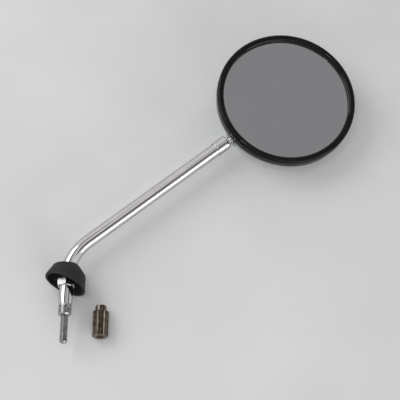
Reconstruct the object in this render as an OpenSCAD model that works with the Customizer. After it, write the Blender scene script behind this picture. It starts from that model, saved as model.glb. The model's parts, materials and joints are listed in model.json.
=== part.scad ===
// Round scooter mirror on a bent stem, laid on its back, in millimetres.
// The stud's shoulder is at the origin, the stud runs towards -Y and the glass faces +Z.

/* [Stem] */
// Diameter of the stem and of its straight shank
stem_d = 10.5; // [9:0.5:13]
// Length from the shoulder to the corner of the bend
corner_y = 49; // [44:1:60]
// Length from the corner of the bend to the centre of the ball
stem_reach = 160; // [120:1:200]
// Angle from the X axis to the stem
stem_angle = 39.5; // [30:0.5:50]
// Radius of the bend, to the middle of the rod
bend_r = 42; // [30:1:50]

/* [Stud] */
// Diameter of the mounting stud
stud_d = 6; // [5:0.5:8]
// Length of the stud below the shoulder
stud_len = 22; // [15:1:35]
// Diameter of the stud's plain root inside the shank
root_d = 7; // [6.5:0.1:7.4]
// Depth of the root inside the shank
root_len = 12; // [8:1:16]

/* [Spanner collar] */
// Width of the collar across its flats
collar_flats = 13; // [12:0.5:18]
// Thickness of the collar
collar_t = 6; // [4:0.5:8]
// Distance from the collar's top to the start of the bend
collar_drop = 0; // [0:0.5:6]
// Turn of the collar about the shank
collar_turn = 30; // [0:1:60]

/* [Boot] */
// Outer radius of the boot's skirt
boot_r = 15.8; // [14:0.2:20]
// Radius of the flat top of the boot
boot_top_r = 10.5; // [7.5:0.1:11.5]
// Height of the boot's top above the shoulder
boot_top_y = 41; // [38:1:48]
// Drop from the boot's top to the start of its straight skirt
boot_shoulder = 10.5; // [9:0.5:15]
// Thickness of the rubber
boot_wall = 1.8; // [1.2:0.1:2.5]
// Slope of the skirt's lower edge
boot_slope = 22; // [0:0.5:35]
// Turn of the boot about the shank
boot_turn = 18; // [0:1:45]
// Height of the skirt's lower edge at the shank's axis
boot_edge_y = 25.5; // [20:0.5:28]
// Distance that the boot hangs to the left of the shank's axis
boot_shift = 1; // [0:0.1:1.5]

/* [Long nut] */
// Diameter of the nut's fluted body
nut_d = 12.8; // [10:0.2:16]
// Length of the fluted body
nut_len = 20.6; // [15:0.2:30]
// Diameter of the plain spigot at the nut's end
nut_spigot_d = 8.8; // [8:0.2:10]
// Length of the spigot
nut_spigot_len = 4.4; // [3:0.2:8]
// Number of flutes
nut_flutes = 8; // [6:1:12]
// Radius of a flute
flute_r = 1.1; // [0.6:0.1:1.4]
// Distance from the stud's axis to the nut's axis
nut_x = 27.2; // [24:0.2:40]
// Height of the nut's near end above the shoulder
nut_y = -14; // [-30:1:10]

/* [Ball joint] */
// Radius of the ball
ball_r = 4.4; // [3.8:0.1:5.2]
// Radius of the neck between the ball and the head
neck_r = 2.25; // [1.8:0.05:2.6]
// Thickness of the ball's seat
seat_wall = 0.52; // [0.4:0.02:1]
// Thickness of the cap's wall
cap_wall = 0.8; // [0.6:0.1:2]
// Thickness of the washer behind the seat
washer_t = 0.6; // [0.4:0.1:1]

/* [Head] */
// Outer diameter of the rim
head_d = 118; // [100:1:150]
// Width of the rim's bead, seen from the front
bead_w = 5.7; // [4:0.1:8]
// Depth of the dome below the neck's axis
dome_drop = 15.2; // [14:0.1:22]
// Height of the glass's face above the neck's axis
glass_z = 13; // [12:0.5:18]
// Height of the lower edge of the rim above the neck's axis
rim_z = 8.5; // [7:0.5:9]
// Height of the dome's upper edge above the neck's axis
dome_edge_z = 4; // [3:0.5:7]
// Thickness of the shell
shell_wall = 1.2; // [0.8:0.1:2]
// Thickness of the glass
glass_t = 2.5; // [2:0.1:4]
// Thickness of the pad behind the glass
pad_t = 2; // [1:0.1:3]
// Turn of the head from the X axis
head_turn = 37; // [30:1:50]
// Rise of the neck
head_lift = 0; // [-3:0.5:3]
// Roll of the head about its neck
head_roll = 7; // [-10:0.5:10]

/* [Pin fixings] */
// Radius of the pin's threaded end
pin_r = 2.5; // [2:0.1:3]
// Width of the pin's nut across its flats
pin_nut_flats = 8; // [7:0.5:9]
// Thickness of the pin's nut
pin_nut_t = 4; // [3:0.5:5]
// Thickness of the pin's washer
pin_washer_t = 1; // [0.8:0.1:1.5]

/* [Hidden] */
$fn = 96;
big_fn = 240;
round_steps = 6;
edge_steps = 4;
bead_steps = 16;
eps = 0.01;

// Clearances, all radial or face to face
fit = 0.02;
ball_fit = 0.03;
turn_fit = 0.05;
boot_fit = 0.1;

// Clearances that are not fits
flange_clear = 0.4;
pad_clear = 0.5;
pocket_clear = 0.3;

// Stem and its bend
stem_r = stem_d / 2;
bend_angle = 90 - stem_angle;
bend_run = bend_r * tan(bend_angle / 2);
bend_y = corner_y - bend_run;
bend_lap = 0.2;
bend_step = 0.01;
foot_chamfer = 0.6;
collar_y = bend_y - collar_drop - collar_t;

// Stud and nut
stud_r = stud_d / 2;
stud_chamfer = 0.8;
root_r = root_d / 2;
nut_r = nut_d / 2;
nut_chamfer = 0.7;
flute_depth = 0.7;
floor_z = -boot_r;

// Boot, with a rounded shoulder that leads into its sloping side
boot_round = 6;
boot_round_end = 38;
boot_edge_round = 1.2;
boot_edge_start = 48;
boot_cutter = 6 * boot_r;

// Ball joint, measured along the stem from the ball's centre
seat_bore = ball_r + ball_fit;
seat_r = seat_bore + seat_wall;
cap_bore = seat_r + turn_fit;
spigot_step = 0.7;
spigot_r = stem_r - spigot_step;
cap_r = max(cap_bore, spigot_r + fit) + cap_wall;
seat_back = -0.8 * ball_r;
seat_front = 0.72 * ball_r;
washer_back = seat_back - turn_fit - washer_t;
spigot_end = washer_back - turn_fit;
spigot_len = 3;
rod_end = spigot_end - spigot_len;
dish_r = 0.72 * ball_r;
dish_depth = 0.6;
lip_grip = 0.5;
lip_r = ball_r - lip_grip;
lip_t = 0.5;
lip_z = seat_front + turn_fit;
cap_brow = 1.8;
cap_end = lip_z + lip_t + cap_brow;
cap_round = 1.6;
cap_round_end = 75;
cap_chamfer = 0.4;
mouth_flare = 0.7;
mouth_r = lip_r + mouth_flare;
relief_z = 0.5 * ball_r;
relief_in_r = 0.8 * ball_r;
relief_out_r = 0.93 * ball_r;

// Head, measured from the ball's centre, with +X towards the head's centre
head_r = head_d / 2;
rim_gap = 7;
head_x = head_r + rim_gap;
skirt_t = 0.8;
shell_r = head_r - skirt_t - turn_fit;
rabbet_step = 0.5;
shell_in_r = shell_r - shell_wall - rabbet_step;
ledge_z = glass_z - glass_t - pad_t;
ledge_w = 2.3;
bead_r = bead_w / 2;
bead_lift = 1.2;
dome_step = 0.1;
dome_edge_r = shell_r + dome_step;
dome_margin = 1;
dome_c = (pow(dome_edge_r, 2) + pow(dome_edge_z, 2) - pow(dome_drop, 2))
    / (2 * (dome_drop + dome_edge_z));
dome_r = dome_c + dome_drop;

// Pin and the boss that it passes through
flange_r = 4.2;
flange_t = 1.5;
neck_len = 4;
boss_face = cap_end + neck_len;
boss_r = 6.8;
boss_depth = 6.5;
boss_seat = boss_face + boss_depth;
pocket_len = 11;
boss_end = boss_seat + pocket_len;
pocket_r = 5.4;
pin_proud = 1.5;
pin_end = boss_seat + pin_washer_t + pin_nut_t + pin_proud;

function arc(x, y, r, from, to, steps) =
    [for (i = [0 : steps]) let (a = from + (to - from) * i / steps) [x + r * cos(a), y + r * sin(a)]];

// Places a child with its Z axis up the shank
module up_shank(y) {
    translate([0, y, 0])
        rotate([-90, 0, 0])
            children();
}

// Places a child with its Z axis along the stem, from the ball's centre
module at_ball() {
    translate([0, corner_y, 0])
        rotate([0, 0, stem_angle])
            translate([stem_reach, 0, 0])
                rotate([0, 90, 0])
                    children();
}

// Places a child in the head's own axes
module at_head() {
    translate([stem_reach * cos(stem_angle), corner_y + stem_reach * sin(stem_angle), 0])
        rotate([head_roll, -head_lift, head_turn])
            children();
}

// A cylinder along the head's X axis
module along_neck(r, from, to) {
    translate([from, 0, 0])
        rotate([0, 90, 0])
            cylinder(r = r, h = to - from);
}

// The rod's route, at any radius, from one end to the other; each straight length laps the bend
module rod_route(r, foot, top) {
    up_shank(foot)
        cylinder(r = r, h = bend_y + bend_lap - foot);
    translate([bend_r, bend_y, 0])
        rotate([0, 0, stem_angle + 90])
            rotate_extrude(angle = bend_angle)
                translate([bend_r, 0])
                    circle(r = r - bend_step);
    translate([0, corner_y, 0])
        rotate([0, 0, stem_angle])
            translate([bend_run - bend_lap, 0, 0])
                rotate([0, 90, 0])
                    cylinder(r = r, h = top - bend_run + bend_lap);
}

module stem_rod() {
    color("silver")
        difference() {
            union() {
                up_shank(0)
                    cylinder(r1 = stem_r - foot_chamfer, r2 = stem_r, h = foot_chamfer);
                rod_route(stem_r, foot_chamfer, stem_reach + rod_end);
                at_ball()
                    translate([0, 0, rod_end])
                        cylinder(r = spigot_r, h = spigot_len);
            }
            up_shank(-eps)
                cylinder(r = root_r + fit, h = root_len + eps + turn_fit);
            at_ball()
                translate([0, 0, spigot_end - dish_depth])
                    cylinder(r = dish_r, h = dish_depth + eps);
        }
}

module mounting_stud() {
    color("gray")
        union() {
            up_shank(-stud_len)
                cylinder(r1 = stud_r - stud_chamfer, r2 = stud_r, h = stud_chamfer);
            up_shank(-stud_len + stud_chamfer)
                cylinder(r = stud_r, h = stud_len - stud_chamfer);
            up_shank(0)
                cylinder(r = root_r, h = root_len);
        }
}

module spanner_collar() {
    color("silver")
        up_shank(collar_y)
            difference() {
                rotate([0, 0, collar_turn])
                    cylinder(d = collar_flats / cos(30), h = collar_t, $fn = 6);
                translate([0, 0, -eps])
                    cylinder(r = stem_r + fit, h = collar_t + 2 * eps);
            }
}

// Half section of the boot: inset 0 gives the outside, and the wall gives the inside
module boot_section(inset) {
    drop = boot_top_y - boot_shoulder;
    top = boot_top_y - inset;
    edge_x = boot_top_r - inset / 2 - boot_edge_round;
    polygon(concat(
        [[0, 0], [boot_r - inset, 0]],
        arc(boot_r - boot_round, drop, boot_round - inset, 0, boot_round_end, round_steps),
        arc(edge_x, top - boot_edge_round, boot_edge_round, boot_edge_start, 90, edge_steps),
        [[0, top]]
    ));
}

module rubber_boot() {
    color("#222222")
        difference() {
            translate([-boot_shift, 0, 0])
                up_shank(0)
                    difference() {
                        rotate_extrude()
                            boot_section(0);
                        rotate_extrude()
                            boot_section(boot_wall);
                        rotate([0, 0, boot_turn])
                            translate([0, 0, boot_edge_y])
                                rotate([0, boot_slope, 0])
                                    translate([0, 0, -boot_cutter / 2])
                                        cube(boot_cutter, center = true);
                    }
            rod_route(stem_r + boot_fit, collar_y, 2 * bend_run);
        }
}

module long_nut() {
    color("silver")
        translate([nut_x, nut_y, floor_z + nut_r])
            rotate([-90, 0, 0])
                difference() {
                    union() {
                        cylinder(r1 = nut_r - nut_chamfer, r2 = nut_r, h = nut_chamfer);
                        translate([0, 0, nut_chamfer])
                            cylinder(r = nut_r, h = nut_len - 2 * nut_chamfer);
                        translate([0, 0, nut_len - nut_chamfer])
                            cylinder(r1 = nut_r, r2 = nut_r - nut_chamfer, h = nut_chamfer);
                        translate([0, 0, nut_len])
                            cylinder(d = nut_spigot_d, h = nut_spigot_len);
                    }
                    translate([0, 0, -eps])
                        cylinder(r = stud_r + fit, h = nut_len + nut_spigot_len + 2 * eps);
                    for (i = [0 : nut_flutes - 1])
                        rotate([0, 0, (i + 0.5) * 360 / nut_flutes])
                            translate([nut_r + flute_r - flute_depth, 0, -eps])
                                cylinder(r = flute_r, h = nut_len + eps);
                }
}

module joint_cap() {
    color("silver")
        at_ball()
            rotate_extrude()
                polygon(concat(
                    [[spigot_r + fit, rod_end + turn_fit], [cap_r - cap_chamfer, rod_end + turn_fit],
                        [cap_r, rod_end + turn_fit + cap_chamfer]],
                    arc(cap_r - cap_round, cap_end - cap_round, cap_round, 0, cap_round_end, round_steps),
                    [[mouth_r, cap_end], [lip_r, lip_z + lip_t], [lip_r, lip_z], [cap_bore, lip_z],
                        [cap_bore, spigot_end], [spigot_r + fit, spigot_end]]
                ));
}

module friction_washer() {
    color("tan")
        at_ball()
            translate([0, 0, washer_back])
                difference() {
                    cylinder(r = min(cap_bore, spigot_r) - turn_fit, h = washer_t);
                    translate([0, 0, -eps])
                        cylinder(r = dish_r, h = washer_t + 2 * eps);
                }
}

module ball_seat() {
    color("ivory")
        at_ball()
            difference() {
                translate([0, 0, seat_back])
                    cylinder(r = seat_r, h = seat_front - seat_back);
                sphere(r = seat_bore);
                translate([0, 0, relief_z])
                    cylinder(r1 = relief_in_r, r2 = relief_out_r, h = seat_front - relief_z + eps);
            }
}

module ball_pin() {
    color("silver")
        at_head()
            union() {
                sphere(r = ball_r);
                along_neck(neck_r, 0, boss_face - flange_t);
                along_neck(flange_r, boss_face - flange_t, boss_face);
                along_neck(pin_r, boss_face, pin_end);
            }
}

module pin_washer() {
    color("silver")
        at_head()
            difference() {
                along_neck(pocket_r - pocket_clear, boss_seat, boss_seat + pin_washer_t);
                along_neck(pin_r + turn_fit, boss_seat - eps, boss_seat + pin_washer_t + eps);
            }
}

module pin_nut() {
    start = boss_seat + pin_washer_t;
    color("silver")
        at_head()
            difference() {
                translate([start, 0, 0])
                    rotate([0, 90, 0])
                        cylinder(d = pin_nut_flats / cos(30), h = pin_nut_t, $fn = 6);
                along_neck(pin_r + fit, start - eps, start + pin_nut_t + eps);
            }
}

// The space inside the shell, below the pad's ledge
module shell_hollow() {
    intersection() {
        translate([0, 0, dome_c])
            sphere(r = dome_r - shell_wall, $fn = big_fn);
        translate([0, 0, -dome_drop])
            cylinder(r = shell_in_r - ledge_w, h = dome_drop + ledge_z + eps, $fn = big_fn);
    }
}

module mirror_shell() {
    color("silver")
        at_head()
            difference() {
                union() {
                    difference() {
                        translate([head_x, 0, 0])
                            union() {
                                intersection() {
                                    translate([0, 0, dome_c])
                                        sphere(r = dome_r, $fn = big_fn);
                                    translate([0, 0, -dome_drop - dome_margin])
                                        cylinder(
                                            r = shell_r + dome_margin,
                                            h = dome_drop + dome_margin + dome_edge_z
                                        );
                                }
                                translate([0, 0, dome_edge_z])
                                    cylinder(r = shell_r, h = glass_z - dome_edge_z, $fn = big_fn);
                            }
                        translate([head_x, 0, 0])
                            shell_hollow();
                        translate([head_x, 0, ledge_z])
                            cylinder(r = shell_in_r, h = glass_z - ledge_z + eps, $fn = big_fn);
                    }
                    intersection() {
                        along_neck(boss_r, boss_face, boss_end);
                        translate([head_x, 0, dome_edge_z - 2 * dome_drop])
                            cylinder(r = head_x, h = 2 * dome_drop);
                    }
                }
                along_neck(flange_r + flange_clear, 0, boss_face);
                along_neck(pin_r + turn_fit, boss_face - eps, boss_end);
                along_neck(pocket_r, boss_seat, boss_end + eps);
            }
}

module glass_pad() {
    color("dimgray")
        at_head()
            translate([head_x, 0, ledge_z])
                cylinder(r = shell_in_r - pad_clear, h = pad_t, $fn = big_fn);
}

module mirror_glass() {
    color("lightgray")
        at_head()
            translate([head_x, 0, glass_z - glass_t])
                cylinder(r = shell_in_r - turn_fit, h = glass_t, $fn = big_fn);
}

module rim_trim() {
    color("black")
        at_head()
            translate([head_x, 0, 0])
                rotate_extrude($fn = big_fn)
                    polygon(concat(
                        [[head_r, rim_z]],
                        arc(head_r - bead_r, glass_z + bead_lift, bead_r, 0, 180, bead_steps),
                        [[head_r - bead_w, glass_z + turn_fit], [shell_r + turn_fit, glass_z + turn_fit],
                            [shell_r + turn_fit, rim_z]]
                    ));
}

stem_rod();
mounting_stud();
spanner_collar();
rubber_boot();
long_nut();
joint_cap();
friction_washer();
ball_seat();
ball_pin();
pin_washer();
pin_nut();
mirror_shell();
glass_pad();
mirror_glass();
rim_trim();
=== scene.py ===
import json
import math

import bmesh
import bpy
from mathutils import Matrix, Vector


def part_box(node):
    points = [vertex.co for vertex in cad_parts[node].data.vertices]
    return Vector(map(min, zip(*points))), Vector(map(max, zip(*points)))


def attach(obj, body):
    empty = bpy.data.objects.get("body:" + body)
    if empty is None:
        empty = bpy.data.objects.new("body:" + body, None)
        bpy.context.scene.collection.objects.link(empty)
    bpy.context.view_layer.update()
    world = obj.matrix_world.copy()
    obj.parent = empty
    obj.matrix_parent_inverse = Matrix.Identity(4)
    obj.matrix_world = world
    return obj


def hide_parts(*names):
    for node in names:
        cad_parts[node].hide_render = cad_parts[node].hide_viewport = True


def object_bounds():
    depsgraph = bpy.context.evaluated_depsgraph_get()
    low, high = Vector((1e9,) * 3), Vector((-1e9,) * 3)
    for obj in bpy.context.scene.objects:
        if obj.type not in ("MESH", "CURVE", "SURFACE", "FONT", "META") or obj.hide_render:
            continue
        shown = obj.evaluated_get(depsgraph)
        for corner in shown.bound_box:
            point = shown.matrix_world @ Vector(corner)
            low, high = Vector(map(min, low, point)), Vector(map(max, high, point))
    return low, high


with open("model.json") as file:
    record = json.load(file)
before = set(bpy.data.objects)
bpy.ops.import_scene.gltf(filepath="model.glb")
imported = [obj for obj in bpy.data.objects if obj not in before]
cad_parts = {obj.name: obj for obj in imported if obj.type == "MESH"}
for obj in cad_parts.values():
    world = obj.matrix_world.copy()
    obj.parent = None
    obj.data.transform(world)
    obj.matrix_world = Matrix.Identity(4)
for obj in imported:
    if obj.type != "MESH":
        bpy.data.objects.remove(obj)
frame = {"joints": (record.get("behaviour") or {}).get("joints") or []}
cad_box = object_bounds()

# Meshes are built in millimetres round their own Z axis, and MM puts them in metres
MM = 0.001

# Steps of a full turn, for large pieces, small ones, the boss and the pin
FINE = 160
SMALL = 72
BOSS_STEPS = 96
PIN_STEPS = 48

# Edges that turn by more than this stay sharp
SHARP = math.radians(34)

# Corners this close are merged, and heights this close are taken as one
WELD = 1e-4
NEAR = 1e-3

# Gap of a tight fit, of a loose one, and between threads that run in each other
TIGHT_FIT = 0.02
LOOSE_FIT = 0.05
THREAD_FIT = 0.1

# Stem and shank
STEM_R = 5.25
BEND_R = 42
BEND_STEPS = 40
STEM_STEPS = 12
FOOT_CHAMFER = 0.6
SHANK_THREAD = 1.25
SHANK_ROOT_R = 4.6
FOOT_R = SHANK_ROOT_R - 0.1
THREAD_TOP = 7.6
THREAD_RUNOUT = 0.3
GROOVE_TOP = 8.6
GROOVE_END = 9.1
SPIGOT_STEP = 0.7
SPIGOT_R = STEM_R - SPIGOT_STEP
SPIGOT_LEN = 3

# Stud, whose root sits in the shank
STUD_R = 3
STUD_THREAD = 1
STUD_ROOT_R = 2.42
STUD_LEN = 22
STUD_TIP = 0.8
ROOT_R = 3.5
ROOT_LEN = 12

# Hexagons, whose corners are turned off and whose bores have mouths
HEX_SLOPE = math.tan(math.radians(30))
PLAIN_MOUTH = 0.15
THREAD_MOUTH = 0.3

# Spanner collar
COLLAR_FLATS = 13
COLLAR_TURN = math.radians(30)
COLLAR_T = 6
COLLAR_CHAMFER = 0.8

# Boot, with the ends of its arcs in degrees
BOOT_R = 15.8
BOOT_TOP_R = 10.5
BOOT_TOP = 41
BOOT_SHOULDER = 10.5
BOOT_ROUND = 6
BOOT_ROUND_END = 38
BOOT_EDGE_ROUND = 1.2
BOOT_EDGE_START = 48
BOOT_WALL = 1.8
BOOT_SLOPE = math.radians(22)
BOOT_TURN = math.radians(18)
BOOT_EDGE = 25.5
BOOT_SHIFT = 1
BOOT_LIP = 0.75
BOOT_FIT = 0.1

# Long nut
NUT_R = 6.4
NUT_LEN = 20.6
NUT_CHAMFER = 0.7
NUT_SPIGOT_R = 4.4
NUT_SPIGOT_LEN = 4.4
NUT_FLUTES = 8
FLUTE_R = 1.1
FLUTE_DEPTH = 0.7
NUT_STEPS = 192
NUT_MOUTH = 0.35

# Ball joint, measured along the stem from the ball's centre, with the end of the cap's arc in degrees
BALL_R = 4.4
NECK_R = 2.25
BALL_FIT = 0.03
SEAT_WALL = 0.52
SEAT_BORE = BALL_R + BALL_FIT
SEAT_R = SEAT_BORE + SEAT_WALL
SEAT_BACK = -0.8 * BALL_R
SEAT_FRONT = 0.72 * BALL_R
SEAT_HOLD = 0.5 * BALL_R
SEAT_MOUTH_R = 0.93 * BALL_R
SEAT_BACK_ROUND = 0.2
SEAT_FRONT_ROUND = 0.15
WASHER_T = 0.6
WASHER_BACK = SEAT_BACK - LOOSE_FIT - WASHER_T
SPIGOT_END = WASHER_BACK - LOOSE_FIT
DISH_R = 0.72 * BALL_R
DISH_DEPTH = 0.6
CAP_WALL = 0.8
CAP_BORE = SEAT_R + LOOSE_FIT
CAP_R = CAP_BORE + CAP_WALL
CAP_ROUND = 1.6
CAP_ROUND_END = 75
CAP_EDGE = 0.4
LIP_GRIP = 0.5
LIP_R = BALL_R - LIP_GRIP
LIP_T = 0.5
CAP_LIP = SEAT_FRONT + LOOSE_FIT
CAP_BROW = 1.8
CAP_END = CAP_LIP + LIP_T + CAP_BROW
MOUTH_FLARE = 0.7
MOUTH_R = LIP_R + MOUTH_FLARE

# Head, measured up from the plane of the joint
HEAD_TURN = math.radians(37)
HEAD_ROLL = math.radians(7)
HEAD_R = 59
RIM_GAP = 7
HEAD_X = HEAD_R + RIM_GAP
GLASS_Z = 13
GLASS_T = 2.5
GLASS_ROUND = 0.3
GROUND_EDGE = 0.35
PAD_T = 2
PAD_MARGIN = 0.5
PAD_ROUND = 0.3
BEAD_R = 2.85
BEAD_LIFT = 1.2
BEAD_Z = GLASS_Z + BEAD_LIFT
RIM_Z = 8.5
RIM_ROUND = 0.3
RIM_FOOT_ROUND = 0.2
SKIRT_T = 0.8
SHELL_R = HEAD_R - SKIRT_T - LOOSE_FIT
SHELL_WALL = 1.2
SHELL_ROUND = 0.2
RABBET_STEP = 0.5
SHELL_IN_R = SHELL_R - SHELL_WALL - RABBET_STEP
LEDGE_W = 2.3
LEDGE_Z = GLASS_Z - GLASS_T - PAD_T
DOME_DROP = 15.2
DOME_EDGE_Z = 4
DOME_STEP = 0.1
DOME_EDGE_R = SHELL_R + DOME_STEP
BAND_Z = DOME_EDGE_Z + 1

# Pin and its boss, measured along the neck from the ball's centre
FLANGE_R = 4.2
FLANGE_T = 1.5
FLANGE_CLEAR = 0.4
FLANGE_EDGE = 0.15
FLANGE_ROUND = 0.35
NECK_FILLET = 0.6
NECK_LEN = 4
BOSS_FACE = CAP_END + NECK_LEN
BOSS_R = 6.8
BOSS_ROUND = 0.5
BOSS_DEPTH = 6.5
BOSS_SEAT = BOSS_FACE + BOSS_DEPTH
POCKET_LEN = 11
POCKET_R = 5.4
POCKET_CLEAR = 0.3
BOSS_END = BOSS_SEAT + POCKET_LEN
CUT_PAST = 1
WASHER_ROUND = 0.1
PIN_WASHER_T = 1
PIN_WASHER_R = POCKET_R - POCKET_CLEAR
PIN_WASHER_ROUND = 0.2
PIN_NUT_FLATS = 8
PIN_NUT_T = 4
PIN_NUT_CHAMFER = 0.6
PIN_R = 2.5
PIN_ROOT_R = 2.05
PIN_THREAD = 0.8
PIN_PROUD = 1.5
PIN_END = BOSS_SEAT + PIN_WASHER_T + PIN_NUT_T + PIN_PROUD
PIN_TIP = 0.5
PIN_TIP_R = PIN_ROOT_R - 0.1
PIN_THREAD_START = BOSS_FACE + 1
PIN_RUNOUT = (0.3, 0.6)

# Surface that the mirror lies on, whose size is half its width in metres
FLOOR_SIZE = 4

# Camera at the photograph's place, worked out from the rim, the stem and the stud
CAMERA_LENS = 94.54
CAMERA_SENSOR = 36
CAMERA_PLACE = (0.065675, -0.259107, 0.776595)
CAMERA_HEADING = math.radians(-6.215)
CAMERA_TILT = math.radians(24.942)
CAMERA_ROLL = math.radians(6.65)

# Point that the lamps look at, in metres, and the colour of the room round it
LIT_POINT = Vector((0.09, 0.1, 0))
ROOM_COLOUR = (0.69, 0.66, 0.65)

# Darker stretches: direction, degrees within which each is full and past which it is gone, and colour
ROOM_PATCHES = (
    ((0.50, -0.19, 0.85), 8, 18, (0.09, 0.09, 0.10)),
    ((-0.20, 0.326, 0.924), 7, 14, (0.10, 0.10, 0.11)),
    ((0.80, 0.30, 0.50), 8, 18, (0.14, 0.14, 0.15)),
    ((-0.96, 0.25, 0.12), 12, 24, (0.10, 0.10, 0.11)),
    ((0.254, 0.330, 0.909), 5.5, 9.5, (0.255, 0.255, 0.26)),
)

# Spans of the noise over which a finish's colour and its roughness run
TINT_SPAN = (0.35, 0.65)
POLISH_SPAN = (0.3, 0.7)
PATCH_DETAIL = 4
GRAIN_DETAIL = 3
GRAIN_STRENGTH = 0.5

# Places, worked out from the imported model's joint and its nut's box
swivel = next(j for j in frame["joints"] if j["name"] == "head_swivel")
BALL = Vector(swivel["pos_m"]) / MM
STEM_DIR = Vector(swivel["axis"]).normalized()
STEM_ANGLE = math.atan2(STEM_DIR.y, STEM_DIR.x)
STEM_REACH = BALL.x / STEM_DIR.x
BEND_ANGLE = math.pi / 2 - STEM_ANGLE
BEND_RUN = BEND_R * math.tan(BEND_ANGLE / 2)
BEND_Y = BALL.y - STEM_REACH * STEM_DIR.y - BEND_RUN
UP_SHANK = Matrix.Rotation(-math.pi / 2, 4, "X")
ON_Z = Matrix.Rotation(math.pi / 2, 4, "Y")
AT_BALL = Matrix.Translation(BALL) @ Matrix.Rotation(STEM_ANGLE, 4, "Z") @ ON_Z
HEAD_AXES = (
    Matrix.Translation(BALL)
    @ Matrix.Rotation(HEAD_TURN, 4, "Z")
    @ Matrix.Rotation(HEAD_ROLL, 4, "X")
)
AT_HEAD = HEAD_AXES @ Matrix.Translation((HEAD_X, 0, 0))
ALONG_NECK = HEAD_AXES @ ON_Z
nut_low, nut_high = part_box("long_nut")
NUT_PLACE = Matrix.Translation(
    ((nut_low.x + nut_high.x) / 2 / MM, nut_low.y / MM, (nut_low.z + nut_high.z) / 2 / MM)
) @ UP_SHANK


def arc(x, y, radius, start, end, steps):
    """Points on an arc, with its angles in degrees."""
    turns = [math.radians(start + (end - start) * i / steps) for i in range(steps + 1)]
    return [(x + radius * math.cos(a), y + radius * math.sin(a)) for a in turns]


def bevel(bm, geom, size, affect, segments=4):
    """Rounds edges or corners."""
    bmesh.ops.bevel(
        bm, geom=geom, offset=size, offset_type="OFFSET", segments=segments,
        profile=0.5, affect=affect, clamp_overlap=True, material=-1,
    )


def as_mesh(name, bm):
    """A new mesh with what was built, which is then let go."""
    mesh = bpy.data.meshes.new(name)
    bm.to_mesh(mesh)
    bm.free()
    return mesh


def in_scene(name, data):
    """A new object in the scene, with this mesh, lamp or camera."""
    made = bpy.data.objects.new(name, data)
    bpy.context.scene.collection.objects.link(made)
    return made


def weld(bm):
    """Merges doubles, which closes seams and poles."""
    bmesh.ops.remove_doubles(bm, verts=bm.verts[:], dist=WELD)


def turned(points, steps=SMALL, closed=False):
    """Turns an outline of (radius, height) or (radius, height, rounding) round the Z axis."""
    bm = bmesh.new()
    corners = [bm.verts.new((p[0], 0, p[1])) for p in points]
    ends = corners[1:] + corners[:1] if closed else corners[1:]
    for a, b in zip(corners, ends):
        bm.edges.new((a, b))
    for corner, point in zip(corners, points):
        if len(point) == 3:
            bevel(bm, [corner], point[2], "VERTICES")
    bmesh.ops.spin(
        bm, geom=bm.verts[:] + bm.edges[:], cent=(0, 0, 0), axis=(0, 0, 1), dvec=(0, 0, 0),
        angle=math.tau, steps=steps, use_merge=True,
    )
    weld(bm)
    return bm


def threaded(crest_r, root_r, pitch, low, high, steps=SMALL):
    """The skin of a helical thread round the Z axis, cut flat and open at both ends."""
    bm = bmesh.new()
    # Heights are shares of the pitch, and spare turns run past both ends for the cuts
    tooth = ((0, root_r), (0.38, crest_r), (0.5, crest_r), (0.88, root_r))
    spare = 2
    turns = math.ceil((high - low) / pitch) + spare + 1
    line = [
        bm.verts.new((radius, 0, low + (turn - spare + share) * pitch))
        for turn in range(turns)
        for share, radius in tooth
    ]
    for a, b in zip(line, line[1:]):
        bm.edges.new((a, b))
    bmesh.ops.spin(
        bm, geom=bm.verts[:] + bm.edges[:], cent=(0, 0, 0), axis=(0, 0, 1),
        dvec=(0, 0, pitch / steps), angle=math.tau, steps=steps, use_merge=False,
    )
    weld(bm)
    for height, side in ((low, -1), (high, 1)):
        bmesh.ops.bisect_plane(
            bm, geom=bm.verts[:] + bm.edges[:] + bm.faces[:], dist=WELD,
            plane_co=(0, 0, height), plane_no=(0, 0, side), clear_outer=True,
        )
    weld(bm)
    return bm


def open_ring(bm, height):
    """The open edges at a height."""
    return [
        e for e in bm.edges
        if e.is_boundary and all(abs(v.co.z - height) < NEAR for v in e.verts)
    ]


def put_round(verts, place):
    """Moves corners to the (radius, height) that a function gives for their angle round the Z axis."""
    for v in verts:
        angle = math.atan2(v.co.y, v.co.x)
        radius, height = place(angle)
        v.co = (radius * math.cos(angle), radius * math.sin(angle), height)


def drawn(bm, ring, matrix=None, place=None):
    """Extrudes an open ring, moves the new one by a matrix or a function, and returns it."""
    made = bmesh.ops.extrude_edge_only(bm, edges=ring)["geom"]
    verts = {g for g in made if isinstance(g, bmesh.types.BMVert)}
    if matrix:
        bmesh.ops.transform(bm, matrix=matrix, verts=list(verts))
    else:
        put_round(verts, place)
    return [
        g for g in made if isinstance(g, bmesh.types.BMEdge) and verts.issuperset(g.verts)
    ]


def carried_on(bm, ring, points):
    """Carries an open ring on through round rings of (radius, height)."""
    for point in points:
        ring = drawn(bm, ring, place=lambda angle, point=point: point)
    return ring


def stacked(steps, rings):
    """A skin through rings, each a function from an angle to (radius, height)."""
    bm = bmesh.new()
    bmesh.ops.create_circle(bm, cap_ends=False, segments=steps, radius=1)
    first = bm.edges[:]
    put_round(bm.verts, rings[0])
    ring = first
    for place in rings[1:]:
        ring = drawn(bm, ring, place=place)
    return bm, first, ring


def added(bm, other):
    """Adds another mesh to this one, as a part of it."""
    mesh = as_mesh("part", other)
    bm.from_mesh(mesh)
    bpy.data.meshes.remove(mesh)


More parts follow.
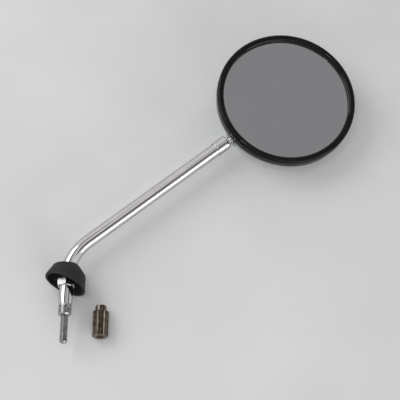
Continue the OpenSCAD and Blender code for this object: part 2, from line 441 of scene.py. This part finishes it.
def combined(bm, other, operation):
    """The two solids joined, or the first less the second."""
    objects = []
    for source in (bm, other):
        bmesh.ops.recalc_face_normals(source, faces=source.faces[:])
        objects.append(in_scene("solid", as_mesh("solid", source)))
    modifier = objects[0].modifiers.new("solid", "BOOLEAN")
    modifier.operation = operation
    modifier.solver = "EXACT"
    modifier.object = objects[1]
    made = bmesh.new()
    made.from_object(objects[0], bpy.context.evaluated_depsgraph_get())
    for o in objects:
        bpy.data.meshes.remove(o.data)
    return made


def add_piece(name, bm, place, body, node, materials, mark=None):
    """Puts a mesh in place as a piece of the model, and hides the plain solid that it stands for."""
    weld(bm)
    bmesh.ops.recalc_face_normals(bm, faces=bm.faces[:])
    for face in bm.faces:
        face.smooth = True
        face.material_index = mark(face.calc_center_median()) if mark else 0
    for edge in bm.edges:
        edge.smooth = edge.is_manifold and edge.calc_face_angle(0) < SHARP
    bmesh.ops.transform(bm, matrix=Matrix.Scale(MM, 4) @ place, verts=bm.verts[:])
    mesh = as_mesh(name, bm)
    for material in materials:
        mesh.materials.append(material)
    piece = in_scene(name, mesh)
    flats = piece.modifiers.new("flats", "WEIGHTED_NORMAL")
    flats.keep_sharp = True
    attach(piece, body)
    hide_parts(node)
    return piece


def surface(name, colours, metallic, roughness, patch, grain, depth, specular=0.5, edge_tint=1):
    """A material whose colour and roughness drift in patches, with a fine raised grain.

    An edge_tint under 1 dims what a metal reflects where it is seen at a slant.
    """
    material = bpy.data.materials.new(name)
    material.use_nodes = True
    nodes, links = material.node_tree.nodes, material.node_tree.links
    shader = nodes["Principled BSDF"]
    shader.inputs["Metallic"].default_value = metallic
    shader.inputs["Specular IOR Level"].default_value = specular
    shader.inputs["Specular Tint"].default_value = (edge_tint, edge_tint, edge_tint, 1)
    place = nodes.new("ShaderNodeTexCoord")

    def noise(scale, detail):
        """A noise on the piece's own coordinates."""
        made = nodes.new("ShaderNodeTexNoise")
        made.inputs["Scale"].default_value = scale
        made.inputs["Detail"].default_value = detail
        links.new(place.outputs["Object"], made.inputs["Vector"])
        return made.outputs["Fac"]

    patches = noise(patch, PATCH_DETAIL)
    tint = nodes.new("ShaderNodeValToRGB")
    for stop, position, colour in zip(tint.color_ramp.elements, TINT_SPAN, colours):
        stop.position = position
        stop.color = (*colour, 1)
    links.new(patches, tint.inputs["Fac"])
    links.new(tint.outputs["Color"], shader.inputs["Base Color"])
    polish = nodes.new("ShaderNodeMapRange")
    polish.inputs["From Min"].default_value = POLISH_SPAN[0]
    polish.inputs["From Max"].default_value = POLISH_SPAN[1]
    polish.inputs["To Min"].default_value = roughness[0]
    polish.inputs["To Max"].default_value = roughness[1]
    links.new(patches, polish.inputs["Value"])
    links.new(polish.outputs["Result"], shader.inputs["Roughness"])
    bump = nodes.new("ShaderNodeBump")
    bump.inputs["Strength"].default_value = GRAIN_STRENGTH
    bump.inputs["Distance"].default_value = depth
    links.new(noise(grain, GRAIN_DETAIL), bump.inputs["Height"])
    links.new(bump.outputs["Normal"], shader.inputs["Normal"])
    return material


CHROME = surface(
    "chrome", ((0.72, 0.72, 0.73), (0.80, 0.80, 0.81)), metallic=1, roughness=(0.04, 0.07),
    patch=60, grain=900, depth=2e-6, edge_tint=0.25,
)
# Dull, darker chrome: on the stem's thread it is the thread's duller finish, and on the collar inside
# the boot its darker colour is painted shade
WORN_CHROME_AND_PAINTED_SHADE = surface(
    "worn_chrome_and_painted_shade", ((0.32, 0.31, 0.31), (0.52, 0.52, 0.53)), metallic=1, roughness=(0.2, 0.34),
    patch=500, grain=2500, depth=1e-5,
)
# The long nut's base colour is a dark brown in place of bright chrome: a painted reflection of the
# dark, brownish surroundings that its flutes show
NUT_CHROME_PAINTED_DARK = surface(
    "nut_chrome_painted_dark", ((0.09, 0.07, 0.05), (0.17, 0.145, 0.12)), metallic=1, roughness=(0.10, 0.18),
    patch=260, grain=1400, depth=5e-6,
)
ZINC = surface(
    "zinc", ((0.24, 0.245, 0.25), (0.40, 0.405, 0.41)), metallic=1, roughness=(0.28, 0.42),
    patch=420, grain=2600, depth=1e-5,
)
SPRING_STEEL = surface(
    "spring_steel", ((0.34, 0.34, 0.35), (0.45, 0.45, 0.46)), metallic=1, roughness=(0.3, 0.4),
    patch=300, grain=1800, depth=8e-6,
)
RUBBER = surface(
    "rubber", ((0.012, 0.013, 0.015), (0.018, 0.019, 0.022)), metallic=0, roughness=(0.55, 0.72),
    patch=180, grain=1500, depth=6e-5, specular=0.28,
)
NYLON = surface(
    "nylon", ((0.74, 0.72, 0.63), (0.82, 0.80, 0.72)), metallic=0, roughness=(0.38, 0.5),
    patch=200, grain=1600, depth=1e-5,
)
FOAM = surface(
    "foam", ((0.035, 0.035, 0.036), (0.06, 0.06, 0.061)), metallic=0, roughness=(0.85, 0.95),
    patch=250, grain=700, depth=3e-4,
)
RIM_BLACK = surface(
    "rim_black", ((0.004, 0.004, 0.005), (0.007, 0.007, 0.008)), metallic=0, roughness=(0.08, 0.13),
    patch=70, grain=300, depth=1e-6, specular=0.13,
)
MIRROR = surface(
    "mirror", ((0.78, 0.79, 0.80), (0.80, 0.81, 0.82)), metallic=1, roughness=(0.01, 0.03),
    patch=40, grain=900, depth=2e-7,
)
GLASS_EDGE = surface(
    "glass_edge", ((0.10, 0.15, 0.13), (0.16, 0.21, 0.19)), metallic=0, roughness=(0.3, 0.5),
    patch=200, grain=2000, depth=1e-5,
)


def rod(radius, foot):
    """The start of a rod, as a mesh with one ring at the foot's height, and that ring."""
    bm = bmesh.new()
    bmesh.ops.create_circle(bm, cap_ends=False, segments=SMALL, radius=radius)
    bmesh.ops.translate(bm, vec=(0, 0, foot), verts=bm.verts[:])
    return bm, bm.edges[:]


def bent(bm, ring, straight):
    """Carries a ring from the foot of the bend round it, and then along a straight length."""
    last = bmesh.ops.spin(
        bm, geom=list({v for e in ring for v in e.verts}) + ring, cent=(BEND_R, 0, BEND_Y),
        axis=(0, 1, 0), dvec=(0, 0, 0), angle=BEND_ANGLE, steps=BEND_STEPS, use_merge=False,
    )["geom_last"]
    ring = [g for g in last if isinstance(g, bmesh.types.BMEdge)]
    step = Vector((math.sin(BEND_ANGLE), 0, math.cos(BEND_ANGLE))) * straight / STEM_STEPS
    for _ in range(STEM_STEPS):
        ring = drawn(bm, ring, matrix=Matrix.Translation(step))
    return ring


def close(bm, ring):
    """Closes an open ring with one flat face."""
    bmesh.ops.holes_fill(bm, edges=ring, sides=0)


def make_stem():
    """The bent rod, with a thread on its foot and a spigot for the cap at its top."""
    bm = threaded(STEM_R, SHANK_ROOT_R, SHANK_THREAD, FOOT_CHAMFER, THREAD_TOP)
    foot = open_ring(bm, FOOT_CHAMFER)
    hole = carried_on(bm, foot, [
        (FOOT_R, 0), (ROOT_R + TIGHT_FIT, 0), (ROOT_R + TIGHT_FIT, ROOT_LEN + LOOSE_FIT),
    ])
    close(bm, hole)
    ring = carried_on(bm, open_ring(bm, THREAD_TOP), [
        (SHANK_ROOT_R, THREAD_TOP + THREAD_RUNOUT), (SHANK_ROOT_R, GROOVE_TOP),
        (STEM_R, GROOVE_END), (STEM_R, BEND_Y),
    ])
    straight = STEM_REACH - BEND_RUN + SPIGOT_END - SPIGOT_LEN
    ring = bent(bm, ring, straight)
    along = Vector((math.sin(BEND_ANGLE), 0, math.cos(BEND_ANGLE)))
    corner = Vector((0, 0, BEND_Y + BEND_RUN))
    shoulder = corner + along * (BEND_RUN + straight)

    def narrowed(ring, centre, share):
        """The ring carried on inwards or outwards in its own plane."""
        to_centre = Matrix.Translation(centre)
        return drawn(bm, ring, matrix=to_centre @ Matrix.Scale(share, 4) @ to_centre.inverted())

    ring = narrowed(ring, shoulder, SPIGOT_R / STEM_R)
    ring = drawn(bm, ring, matrix=Matrix.Translation(along * SPIGOT_LEN))
    ring = narrowed(ring, shoulder + along * SPIGOT_LEN, DISH_R / SPIGOT_R)
    ring = drawn(bm, ring, matrix=Matrix.Translation(-along * DISH_DEPTH))
    close(bm, ring)
    add_piece(
        "stem", bm, UP_SHANK, "stem", "stem_rod", [CHROME, WORN_CHROME_AND_PAINTED_SHADE],
        mark=lambda p: int(p.z < GROOVE_TOP),
    )


def make_stud():
    """The threaded stud, whose plain root sits in the shank."""
    bm = threaded(STUD_R, STUD_ROOT_R, STUD_THREAD, -STUD_LEN + STUD_TIP, -STUD_THREAD)
    close(bm, carried_on(bm, open_ring(bm, -STUD_LEN + STUD_TIP), [
        (STUD_R - STUD_TIP, -STUD_LEN)
    ]))
    close(bm, carried_on(bm, open_ring(bm, -STUD_THREAD), [
        (STUD_ROOT_R, -STUD_THREAD / 2), (STUD_R, 0), (ROOT_R, 0), (ROOT_R, ROOT_LEN),
    ]))
    add_piece("stud", bm, UP_SHANK, "stem", "mounting_stud", [ZINC])


def hexagon(flats, low, high, chamfer, bore_r, turn=0, thread=None):
    """A hexagon with turned-off corners and a bore, threaded when given a (crest radius, pitch)."""
    half = flats / 2
    flat_r = half - chamfer / 2
    side_angle = math.pi / 3
    mouth = THREAD_MOUTH if thread else PLAIN_MOUTH

    def corner(angle):
        return half / math.cos((angle - turn) % side_angle - side_angle / 2)

    def edge(height, side):
        """The corners turned off on a slope, down from a face or up from one."""
        return lambda a: (corner(a), height - side * max(0, corner(a) - flat_r) * HEX_SLOPE)

    bm, first, last = stacked(SMALL * 2, [
        lambda a: (bore_r + mouth, low), lambda a: (flat_r, low), edge(low, -1),
        edge(high, 1), lambda a: (flat_r, high), lambda a: (bore_r + mouth, high),
    ])
    if thread:
        crest_r, pitch = thread
        added(bm, threaded(crest_r, bore_r, pitch, low + mouth, high - mouth))
        for outer, inner in ((low, low + mouth), (high, high - mouth)):
            bmesh.ops.bridge_loops(bm, edges=open_ring(bm, outer) + open_ring(bm, inner))
    else:
        ends = [
            drawn(bm, ring, place=lambda a, z=z: (bore_r, z))
            for ring, z in ((first, low + mouth), (last, high - mouth))
        ]
        bmesh.ops.bridge_loops(bm, edges=ends[0] + ends[1])
    return bm


def make_collar():
    """The spanner collar, pressed on the shank inside the boot."""
    bm = hexagon(
        COLLAR_FLATS, BEND_Y - COLLAR_T, BEND_Y, COLLAR_CHAMFER, STEM_R + TIGHT_FIT, COLLAR_TURN
    )
    # The collar's darker, duller chrome paints the shade that it sits in under the boot
    add_piece("spanner_hex", bm, UP_SHANK, "stem", "spanner_collar", [WORN_CHROME_AND_PAINTED_SHADE])


def make_boot():
    """The rubber boot, cut on a slant and open below, with the rod through its top."""

    def solid(inset, low):
        """The boot's bell, filled, with its skin moved inwards by the inset."""
        drop = BOOT_TOP - BOOT_SHOULDER
        edge_x = BOOT_TOP_R - inset / 2 - BOOT_EDGE_ROUND
        top = BOOT_TOP - inset
        return turned([
            (0, low), (BOOT_R - inset, low),
            *arc(BOOT_R - BOOT_ROUND, drop, BOOT_ROUND - inset, 0, BOOT_ROUND_END, 8),
            *arc(edge_x, top - BOOT_EDGE_ROUND, BOOT_EDGE_ROUND, BOOT_EDGE_START, 90, 6),
            (0, top),
        ], steps=FINE)

    low = BOOT_EDGE - BOOT_R
    bm = combined(solid(0, low), solid(BOOT_WALL, low - BOOT_WALL), "DIFFERENCE")
    slant = Matrix.Rotation(BOOT_TURN, 4, "Z") @ Matrix.Rotation(BOOT_SLOPE, 4, "Y")
    place = Matrix.Translation((0, 0, BOOT_EDGE)) @ slant
    cutter = bmesh.new()
    size = 4 * BOOT_R
    bmesh.ops.create_cube(
        cutter, size=size, matrix=place @ Matrix.Translation((0, 0, -size / 2))
    )
    bm = combined(bm, cutter, "DIFFERENCE")
    to_cut = place.inverted()
    rims = [
        e for e in bm.edges
        if e.calc_face_angle(0) > SHARP and all(abs((to_cut @ v.co).z) < NEAR for v in e.verts)
    ]
    bevel(bm, rims, BOOT_LIP, "EDGES", segments=5)
    bmesh.ops.translate(bm, vec=(-BOOT_SHIFT, 0, 0), verts=bm.verts[:])
    hole, ring = rod(STEM_R + BOOT_FIT, BEND_Y - COLLAR_T)
    close(hole, ring)
    ring = drawn(hole, ring, matrix=Matrix.Translation((0, 0, COLLAR_T)))
    close(hole, bent(hole, ring, BEND_RUN))
    bm = combined(bm, hole, "DIFFERENCE")
    add_piece("boot", bm, UP_SHANK, "stem", "rubber_boot", [RUBBER])


def make_long_nut():
    """The fluted nut with its plain spigot and its threaded bore."""
    flute_x = NUT_R + FLUTE_R - FLUTE_DEPTH
    spacing = math.tau / NUT_FLUTES

    def fluted(angle):
        """The radius at an angle, which dips where a flute is cut."""
        off = (angle % spacing) - spacing / 2
        inside = FLUTE_R ** 2 - (flute_x * math.sin(off)) ** 2
        return min(NUT_R, flute_x * math.cos(off) - math.sqrt(inside)) if inside > 0 else NUT_R

    def ring(limit, height):
        return lambda angle: (min(limit, fluted(angle)), height)

    end_r = NUT_R - NUT_CHAMFER
    top = NUT_LEN + NUT_SPIGOT_LEN
    bm, _, _ = stacked(NUT_STEPS, [
        lambda a: (STUD_R + NUT_MOUTH, 0), ring(end_r, 0), ring(NUT_R, NUT_CHAMFER),
        ring(NUT_R, NUT_LEN - NUT_CHAMFER), ring(end_r, NUT_LEN),
        lambda a: (NUT_SPIGOT_R, NUT_LEN), lambda a: (NUT_SPIGOT_R, top - NUT_MOUTH),
        lambda a: (NUT_SPIGOT_R - NUT_MOUTH, top), lambda a: (STUD_R + NUT_MOUTH, top),
    ])
    crest_r = STUD_ROOT_R + THREAD_FIT
    added(bm, threaded(crest_r, STUD_R + TIGHT_FIT, STUD_THREAD, NUT_MOUTH, top - NUT_MOUTH))
    for outer, inner in ((0, NUT_MOUTH), (top, top - NUT_MOUTH)):
        bmesh.ops.bridge_loops(bm, edges=open_ring(bm, outer) + open_ring(bm, inner))
    # The nut takes the chrome whose dark brown colour is a painted reflection
    add_piece("long_nut_body", bm, NUT_PLACE, "stem", "long_nut", [NUT_CHROME_PAINTED_DARK])


def make_cap():
    """The chromed sleeve on the stem's top, closed in over the ball."""
    rod_end = SPIGOT_END - SPIGOT_LEN + LOOSE_FIT
    bm = turned([
        (SPIGOT_R + TIGHT_FIT, rod_end), (CAP_R, rod_end, CAP_EDGE),
        *arc(CAP_R - CAP_ROUND, CAP_END - CAP_ROUND, CAP_ROUND, 0, CAP_ROUND_END, 10),
        (MOUTH_R, CAP_END), (LIP_R, CAP_LIP + LIP_T), (LIP_R, CAP_LIP), (CAP_BORE, CAP_LIP),
        (CAP_BORE, SPIGOT_END), (SPIGOT_R + TIGHT_FIT, SPIGOT_END),
    ], steps=FINE, closed=True)
    add_piece("cap", bm, AT_BALL, "stem", "joint_cap", [CHROME])


def make_friction_washer():
    """The spring washer behind the seat."""
    outer_r = min(CAP_BORE, SPIGOT_R) - LOOSE_FIT
    front = WASHER_BACK + WASHER_T
    bm = turned([
        (DISH_R, WASHER_BACK, WASHER_ROUND), (outer_r, WASHER_BACK, WASHER_ROUND),
        (outer_r, front, WASHER_ROUND), (DISH_R, front, WASHER_ROUND),
    ], closed=True)
    add_piece(
        "drag_washer", bm, AT_BALL, "stem", "friction_washer", [SPRING_STEEL]
    )


def make_seat():
    """The nylon seat round the ball."""
    start = math.degrees(math.asin(SEAT_BACK / SEAT_BORE))
    end = math.degrees(math.asin(SEAT_HOLD / SEAT_BORE))
    bm = turned([
        (SEAT_R, SEAT_BACK, SEAT_BACK_ROUND), (SEAT_R, SEAT_FRONT, SEAT_FRONT_ROUND),
        (SEAT_MOUTH_R, SEAT_FRONT),
        *reversed(arc(0, 0, SEAT_BORE, start, end, 24)),
    ], closed=True)
    add_piece("ball_socket", bm, AT_BALL, "seat", "ball_seat", [NYLON])


def make_pin():
    """The ball, its neck, the flange against the boss and the threaded end."""
    bm = threaded(
        PIN_R, PIN_ROOT_R, PIN_THREAD, PIN_THREAD_START, PIN_END - PIN_TIP, steps=PIN_STEPS
    )
    close(bm, carried_on(bm, open_ring(bm, PIN_END - PIN_TIP), [(PIN_TIP_R, PIN_END)]))
    neck = math.degrees(math.asin(NECK_R / BALL_R))
    flange = BOSS_FACE - FLANGE_T
    runout_low, runout_high = PIN_RUNOUT
    carried_on(bm, open_ring(bm, PIN_THREAD_START), [
        (PIN_ROOT_R, BOSS_FACE + runout_high), (PIN_R, BOSS_FACE + runout_low),
        (PIN_R, BOSS_FACE),
        (FLANGE_R - FLANGE_EDGE, BOSS_FACE), (FLANGE_R, BOSS_FACE - FLANGE_EDGE),
        *arc(FLANGE_R - FLANGE_ROUND, flange + FLANGE_ROUND, FLANGE_ROUND, 0, -90, 5),
        *arc(NECK_R + NECK_FILLET, flange - NECK_FILLET, NECK_FILLET, 90, 180, 5),
        *((abs(x), z) for x, z in arc(0, 0, BALL_R, 90 - neck, -90, 30)),
    ])
    add_piece("ball_and_pin", bm, ALONG_NECK, "head", "ball_pin", [CHROME])


def make_pin_fixings():
    """The washer and the nut that hold the pin in its boss."""
    top = BOSS_SEAT + PIN_WASHER_T
    bore_r = PIN_R + LOOSE_FIT
    bm = turned([
        (bore_r, BOSS_SEAT, WASHER_ROUND), (PIN_WASHER_R, BOSS_SEAT, PIN_WASHER_ROUND),
        (PIN_WASHER_R, top, PIN_WASHER_ROUND), (bore_r, top, WASHER_ROUND),
    ], closed=True)
    add_piece(
        "back_washer", bm, ALONG_NECK, "head", "pin_washer", [SPRING_STEEL]
    )
    bm = hexagon(
        PIN_NUT_FLATS, top, top + PIN_NUT_T, PIN_NUT_CHAMFER, PIN_R + TIGHT_FIT,
        thread=(PIN_ROOT_R + THREAD_FIT, PIN_THREAD),
    )
    add_piece("back_nut", bm, ALONG_NECK, "head", "pin_nut", [ZINC])


def make_shell():
    """The domed chrome shell with the boss that the pin passes through."""
    dome_c = (DOME_EDGE_R ** 2 + DOME_EDGE_Z ** 2 - DOME_DROP ** 2) / 2 / (DOME_DROP + DOME_EDGE_Z)
    dome_r = dome_c + DOME_DROP
    inner_r = dome_r - SHELL_WALL
    hollow_r = SHELL_IN_R - LEDGE_W
    outer_end = -math.degrees(math.acos(SHELL_R / dome_r))
    inner_end = -math.degrees(math.acos(hollow_r / inner_r))
    bm = turned([
        *arc(0, dome_c, dome_r, -90, outer_end, 40),
        (SHELL_R, BAND_Z), (SHELL_R, GLASS_Z, SHELL_ROUND),
        (SHELL_IN_R, GLASS_Z, SHELL_ROUND), (SHELL_IN_R, LEDGE_Z),
        (hollow_r, LEDGE_Z, SHELL_ROUND),
        *reversed(arc(0, dome_c, inner_r, -90, inner_end, 30)),
    ], steps=FINE)
    bmesh.ops.translate(bm, vec=(HEAD_X, 0, 0), verts=bm.verts[:])

    def bar(*points):
        """A solid bar along the neck, turned from an outline."""
        made = turned([(0, points[0][1]), *points, (0, points[-1][1])], steps=BOSS_STEPS)
        bmesh.ops.transform(made, matrix=ON_Z, verts=made.verts[:])
        return made

    hole_r = PIN_R + LOOSE_FIT
    flange_r = FLANGE_R + FLANGE_CLEAR
    bm = combined(bm, bar((BOSS_R, BOSS_FACE, BOSS_ROUND), (BOSS_R, BOSS_END)), "UNION")
    bm = combined(bm, bar((flange_r, 0), (flange_r, BOSS_FACE)), "DIFFERENCE")
    bm = combined(bm, bar(
        (hole_r, BOSS_FACE - CUT_PAST), (hole_r, BOSS_SEAT), (POCKET_R, BOSS_SEAT),
        (POCKET_R, BOSS_END + CUT_PAST),
    ), "DIFFERENCE")
    add_piece("shell", bm, HEAD_AXES, "head", "mirror_shell", [CHROME])


def make_pad():
    """The foam pad behind the glass."""
    radius = SHELL_IN_R - PAD_MARGIN
    front = LEDGE_Z + PAD_T
    bm = turned([
        (0, LEDGE_Z), (radius, LEDGE_Z, PAD_ROUND), (radius, front, PAD_ROUND), (0, front)
    ], steps=FINE)
    piece = add_piece("foam_pad", bm, AT_HEAD, "head", "glass_pad", [FOAM])


def make_glass():
    """The silvered glass, with a ground edge."""
    radius = SHELL_IN_R - LOOSE_FIT
    back = GLASS_Z - GLASS_T
    bm = turned([
        (0, back), (radius, back, GLASS_ROUND), (radius, GLASS_Z, GLASS_ROUND), (0, GLASS_Z)
    ], steps=FINE)
    add_piece(
        "glass", bm, AT_HEAD, "head", "mirror_glass", [MIRROR, GLASS_EDGE],
        mark=lambda p: int(math.hypot(p.x, p.y) > radius - GROUND_EDGE),
    )


def make_rim():
    """The gloss black rim, a rolled bead with a skirt over the shell's edge."""
    skirt_r = SHELL_R + LOOSE_FIT
    foot_z = GLASS_Z + LOOSE_FIT
    bm = turned([
        (skirt_r, RIM_Z), (HEAD_R, RIM_Z, RIM_ROUND),
        *arc(HEAD_R - BEAD_R, BEAD_Z, BEAD_R, 0, 180, 24),
        (HEAD_R - 2 * BEAD_R, foot_z, RIM_FOOT_ROUND), (skirt_r, foot_z),
    ], steps=FINE, closed=True)
    add_piece("rim", bm, AT_HEAD, "head", "rim_trim", [RIM_BLACK])


def make_floor():
    """The plain pale surface that the mirror lies on."""
    bm = bmesh.new()
    bmesh.ops.create_grid(bm, x_segments=1, y_segments=1, size=FLOOR_SIZE)
    floor_z = min(cad_box[0].z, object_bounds()[0].z)
    bmesh.ops.translate(bm, vec=(0, 0, floor_z), verts=bm.verts[:])
    mesh = as_mesh("floor", bm)
    mesh.materials.append(surface(
        "paper", ((0.60, 0.625, 0.635), (0.64, 0.665, 0.675)), metallic=0, roughness=(0.7, 0.85),
        patch=9, grain=300, depth=1e-4,
    ))
    floor = in_scene("floor", mesh)


def make_camera():
    """The camera at the photograph's place."""
    data = bpy.data.cameras.new("camera")
    data.lens = CAMERA_LENS
    data.sensor_width = CAMERA_SENSOR
    camera = in_scene("camera", data)
    camera.matrix_world = (
        Matrix.Translation(CAMERA_PLACE)
        @ Matrix.Rotation(CAMERA_HEADING, 4, "Z")
        @ Matrix.Rotation(CAMERA_TILT, 4, "X")
        @ Matrix.Rotation(CAMERA_ROLL, 4, "Z")
    )
    bpy.context.scene.camera = camera


def make_lamp(name, direction, distance, size, power, colour=(1, 1, 1)):
    """A soft lamp of (width, height) that looks at the middle of the mirror."""
    data = bpy.data.lights.new(name, "AREA")
    data.shape = "RECTANGLE"
    data.size, data.size_y = size
    data.energy = power
    data.color = colour
    lamp = in_scene(name, data)
    way = Vector(direction).normalized()
    lamp.matrix_world = (
        Matrix.Translation(LIT_POINT + way * distance)
        @ way.to_track_quat("Z", "Y").to_matrix().to_4x4()
    )


def make_world():
    """Soft light from all round, with darker stretches overhead that the chrome and the glass show."""
    world = bpy.data.worlds.new("room")
    bpy.context.scene.world = world
    world.use_nodes = True
    nodes, links = world.node_tree.nodes, world.node_tree.links
    place = nodes.new("ShaderNodeTexCoord")
    colour = None
    for direction, full, gone, dark in ROOM_PATCHES:
        facing = nodes.new("ShaderNodeVectorMath")
        facing.operation = "DOT_PRODUCT"
        facing.inputs[1].default_value = Vector(direction).normalized()
        links.new(place.outputs["Generated"], facing.inputs[0])
        share = nodes.new("ShaderNodeMapRange")
        share.interpolation_type = "SMOOTHSTEP"
        share.inputs["From Min"].default_value = math.cos(math.radians(gone))
        share.inputs["From Max"].default_value = math.cos(math.radians(full))
        links.new(facing.outputs["Value"], share.inputs["Value"])
        mix = nodes.new("ShaderNodeMix")
        mix.data_type = "RGBA"
        mix.inputs["B"].default_value = (*dark, 1)
        links.new(share.outputs["Result"], mix.inputs["Factor"])
        if colour:
            links.new(colour, mix.inputs["A"])
        else:
            mix.inputs["A"].default_value = (*ROOM_COLOUR, 1)
        colour = mix.outputs["Result"]
    links.new(colour, nodes["Background"].inputs["Color"])


make_stem()
make_stud()
make_collar()
make_boot()
make_long_nut()
make_cap()
make_friction_washer()
make_seat()
make_pin()
make_pin_fixings()
make_shell()
make_pad()
make_glass()
make_rim()
make_floor()
make_camera()
make_lamp(
    "window", direction=(-0.724, 0.326, 0.607), distance=1.3, size=(1.0, 1.0), power=8
)
make_lamp(
    "strip", direction=(0.68, -0.70, 0.20), distance=1.3, size=(1.1, 0.24), power=5.5,
    colour=(1, 0.97, 0.96),
)
make_lamp(
    "overhead", direction=(-0.19, -0.185, 0.953), distance=1.2, size=(0.08, 0.08), power=1,
    colour=(1, 0.90, 0.90),
)
make_lamp("front", direction=(0.25, -0.85, 0.45), distance=1.2, size=(0.4, 0.06), power=1.2)
make_world()
bpy.context.scene.view_settings.view_transform = "Standard"
